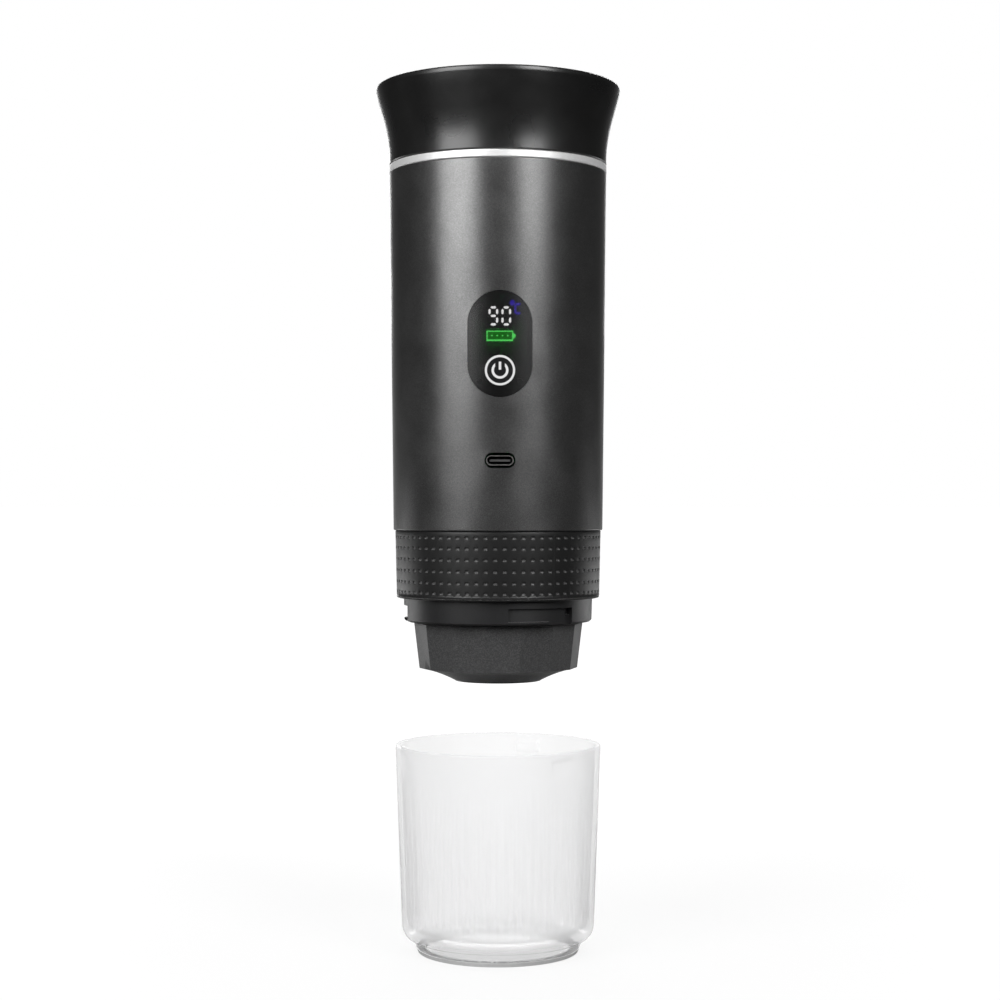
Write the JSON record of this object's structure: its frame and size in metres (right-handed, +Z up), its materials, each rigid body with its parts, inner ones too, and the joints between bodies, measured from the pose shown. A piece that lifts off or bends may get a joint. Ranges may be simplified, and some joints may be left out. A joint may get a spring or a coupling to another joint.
{
  "type": "portable coffee maker",
  "caption": "Upright cylindrical portable coffee maker with a flared screw lid, display panel, dimpled rubber grip and faceted brewing head, held above its fluted clear cup.",
  "frame": {"origin": "centre of the circle where the cup's foot stands on the table, on the common axis of the cup and of the unit held above it", "axes": "+Z up along the axis from the cup to the lid, -Y towards the front with the display, +X to its right"},
  "size_m": [0.0828, 0.0828, 0.2927],
  "materials": {
    "casing_paint": "fine satin powder coat, dark graphite",
    "lid_black": "satin black",
    "trim_silver": "bright turned",
    "grip_rubber": "matte, dimpled",
    "black_plastic": "fine matte",
    "head_black": "matte, speckled",
    "white_plastic": "matte",
    "panel_gloss": "high gloss",
    "light_white": "lit",
    "light_blue": "lit",
    "light_green": "lit",
    "steel": "brushed",
    "aluminium": "plain",
    "copper": "lacquered wire",
    "silicone": "soft matte",
    "cell_wrap": "shrink film",
    "board_green": "solder mask",
    "cup_clear": "frosted clear, fluted",
    "foot_clear": "frosted"
  },
  "bodies": {
    "unit": {"outer_casing": "casing_paint", "trim_ring": "trim_silver", "grip_sleeve": "grip_rubber", "lower_housing": "black_plastic", "bayonet_ring": "black_plastic", "brew_chamber": "black_plastic", "ring_screws": "steel", "shower_plate": "steel", "brew_gasket": "silicone", "inner_frame": "black_plastic", "frame_screws": "steel", "battery_cell_left": "cell_wrap", "battery_cell_back": "cell_wrap", "battery_cell_right": "cell_wrap", "cell_links": "steel", "pump_body": "steel", "pump_coil": "copper", "pump_spring": "steel", "pump_mount": "grip_rubber", "inlet_hose": "silicone", "outlet_hose": "silicone", "tank_collar": "black_plastic", "water_tank": "steel", "tank_gasket": "silicone", "heater_plate": "aluminium", "thermal_cutoff": "white_plastic", "temperature_sensor": "steel", "display_window": "panel_gloss", "display_board": "board_green", "push_switch": "black_plastic", "digit_module": "white_plastic", "digit_lights": "light_white", "degree_light": "light_blue", "battery_light": "light_green", "main_board": "board_green", "board_ribbon": "white_plastic", "usb_socket": "steel", "usb_tongue": "black_plastic"},
    "button": {"power_button": "panel_gloss", "button_marks": "light_white"},
    "plunger": {"pump_plunger": "steel"},
    "lid_lift": {"lid_seal": "silicone"},
    "lid": {"lid_shell": "lid_black", "lid_top_disc": "lid_black", "lid_base": "black_plastic", "lid_screws": "steel"},
    "basket": {"coffee_basket": "steel", "basket_screen": "steel"},
    "head": {"brew_head": "head_black", "spout_disc": "black_plastic"},
    "cup_base": {"cup_foot_ring": "foot_clear"},
    "cup": {"cup": "cup_clear"}
  },
  "joints": [
    {"name": "lid_rise", "type": "slide", "parent": "unit", "child": "lid_lift", "axis": [0, 0, 1], "range_m": [0, 0.012]},
    {"name": "lid_turn", "type": "hinge", "parent": "lid_lift", "child": "lid", "pos_m": [0, 0, 0.2617], "axis": [0, 0, 1], "range_deg": [0, 1080.1]},
    {"name": "head_drop", "type": "slide", "parent": "unit", "child": "basket", "axis": [0, 0, -1], "range_m": [0, 0.012]},
    {"name": "head_turn", "type": "hinge", "parent": "basket", "child": "head", "pos_m": [0, 0, 0.1157], "axis": [0, 0, -1], "range_deg": [0, 1080.1]},
    {"name": "cup_lift", "type": "slide", "parent": "unit", "child": "cup_base", "axis": [0, 0, 1], "range_m": [0, 0.0496]},
    {"name": "cup_twist", "type": "hinge", "parent": "cup_base", "child": "cup", "pos_m": [0, 0, 0.035], "axis": [0, 0, -1], "range_deg": [0, 26]},
    {"name": "power_button_press", "type": "slide", "parent": "unit", "child": "button", "axis": [0, 1, 0], "range_m": [0, 0.0006], "stiffness_N_per_m": 800},
    {"name": "pump_stroke", "type": "slide", "parent": "unit", "child": "plunger", "axis": [0, 0, 1], "range_m": [-0.0015, 0.0015], "stiffness_N_per_m": 1500, "deforming": ["pump_spring"]}
  ],
  "couplings": [
    {"joint": "lid_turn", "follows": "lid_rise", "rad_per_m": 1570.8},
    {"joint": "head_turn", "follows": "head_drop", "rad_per_m": 1570.8}
  ]
}
